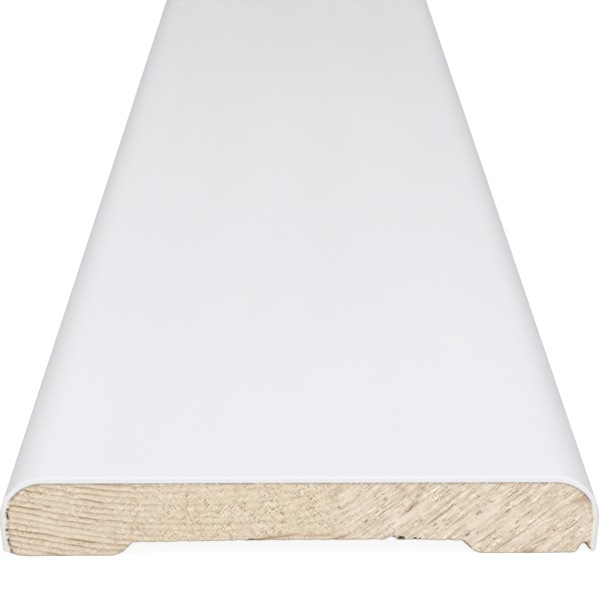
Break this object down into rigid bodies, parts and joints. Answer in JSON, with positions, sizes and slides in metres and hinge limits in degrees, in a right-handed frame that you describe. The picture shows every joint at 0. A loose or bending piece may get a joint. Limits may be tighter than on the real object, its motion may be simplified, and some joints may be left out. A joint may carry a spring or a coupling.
{
  "type": "architrave moulding",
  "caption": "Flat architrave strip of pine with rounded face edges, wrapped in white film, with a shallow channel along its back, for trimming around a door or window.",
  "frame": {"origin": "middle of the back, on the plane that the back rests on", "axes": "+X across the width, +Y along the length, +Z from the back to the face"},
  "size_m": [0.069, 2.2, 0.01],
  "materials": {
    "pine": "sawn and planed, unfinished",
    "film": "satin"
  },
  "bodies": {
    "root": {"pine_core": "pine", "white_film": "film"}
  },
  "joints": []
}
